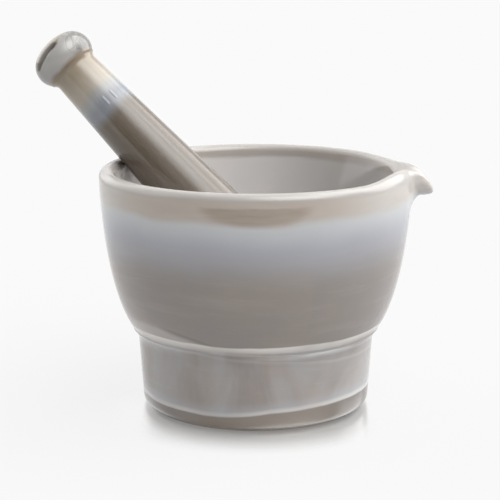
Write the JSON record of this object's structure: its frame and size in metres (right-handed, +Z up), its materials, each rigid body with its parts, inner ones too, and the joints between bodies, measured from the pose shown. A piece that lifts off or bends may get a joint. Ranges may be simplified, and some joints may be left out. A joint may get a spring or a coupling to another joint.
{
  "type": "mortar and pestle",
  "caption": "Footed pressed-glass mortar with a rolled lip and a small pouring beak, holding a solid glass pestle with a flattened ball knob and a rounded grinding head.",
  "frame": {"origin": "centre of the mortar's flat base, where it rests on the table", "axes": "+Z up along the mortar's axis, +X towards the pouring beak, the pestle's knob leans out over -X"},
  "size_m": [0.1671, 0.13, 0.1537],
  "materials": {
    "mortar_glass": "glossy opaque marbled glass, grey-taupe with a blue-grey band under the lip, ground matte inside",
    "pestle_glass": "glossy opaque marbled glass, taupe shaft with a blue-grey band and a pale grey knob, ground matte head"
  },
  "bodies": {
    "mortar": {"mortar": "mortar_glass"},
    "pestle": {"pestle": "pestle_glass"}
  },
  "joints": [
    {"name": "pestle_lift", "type": "slide", "parent": "mortar", "child": "pestle", "axis": [0, 0, 1], "range_m": [0, 0.12]}
  ]
}
